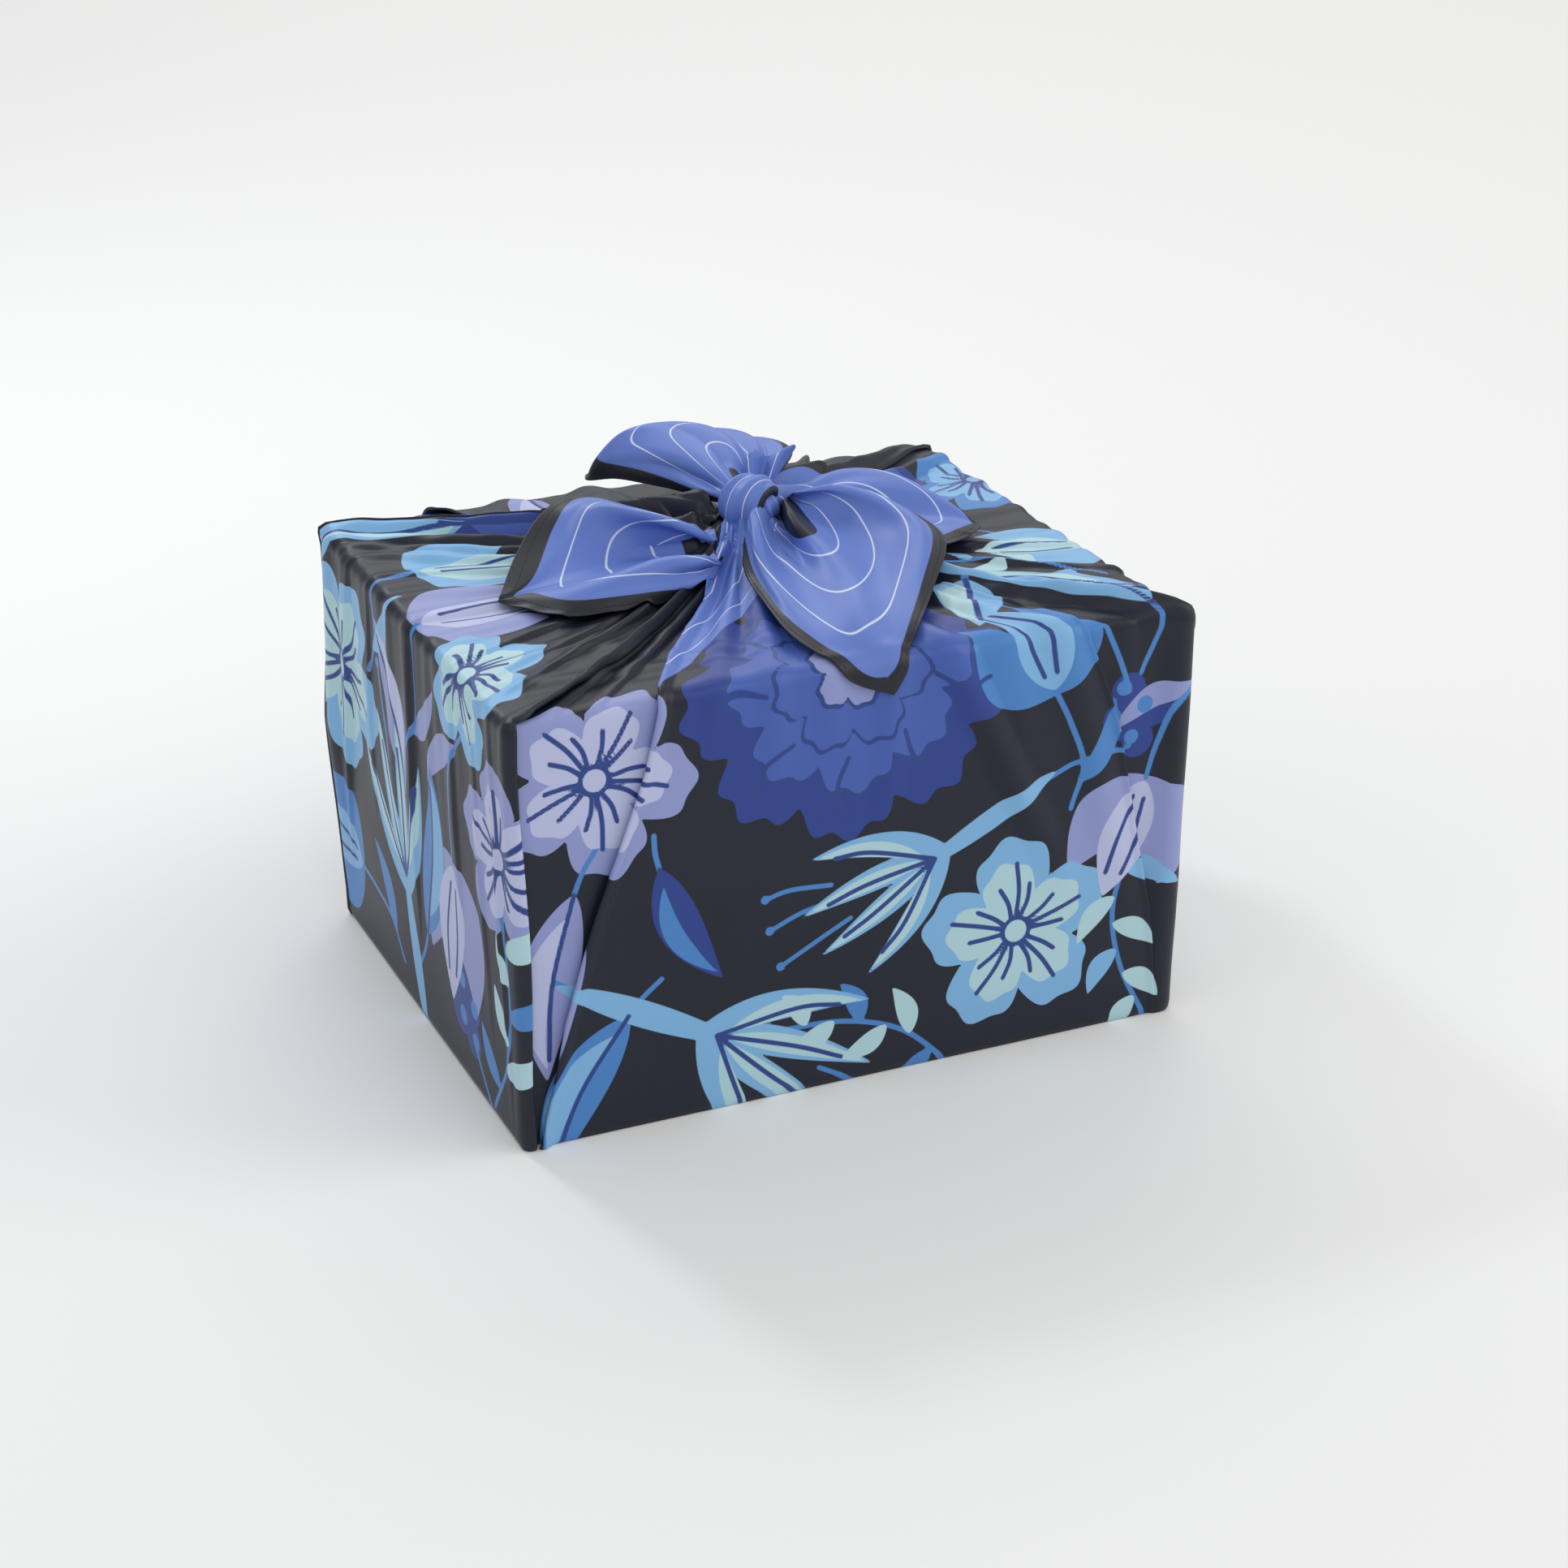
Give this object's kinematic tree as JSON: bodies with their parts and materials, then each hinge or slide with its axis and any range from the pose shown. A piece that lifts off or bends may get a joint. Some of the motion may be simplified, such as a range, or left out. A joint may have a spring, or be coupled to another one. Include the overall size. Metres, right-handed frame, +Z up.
{
  "type": "furoshiki wrapping cloth, tied",
  "caption": "Square satin cloth tied round the place of a box: flat base, gathered sides, crossed knots and loose cloth corners on top, hollow inside.",
  "frame": {"origin": "middle of the base, on the surface that the wrap stands on", "axes": "+Z up; X along the wrap's long sides; -Y towards the side that the front corner hangs over"},
  "size_m": [0.2896, 0.238, 0.2239],
  "materials": {
    "printed_satin": "smooth woven satin, charcoal ground with a flat blue floral print, blue corners with thin pale lines, and a charcoal hem"
  },
  "bodies": {
    "root": {"furoshiki_wrap": "printed_satin"}
  },
  "joints": []
}
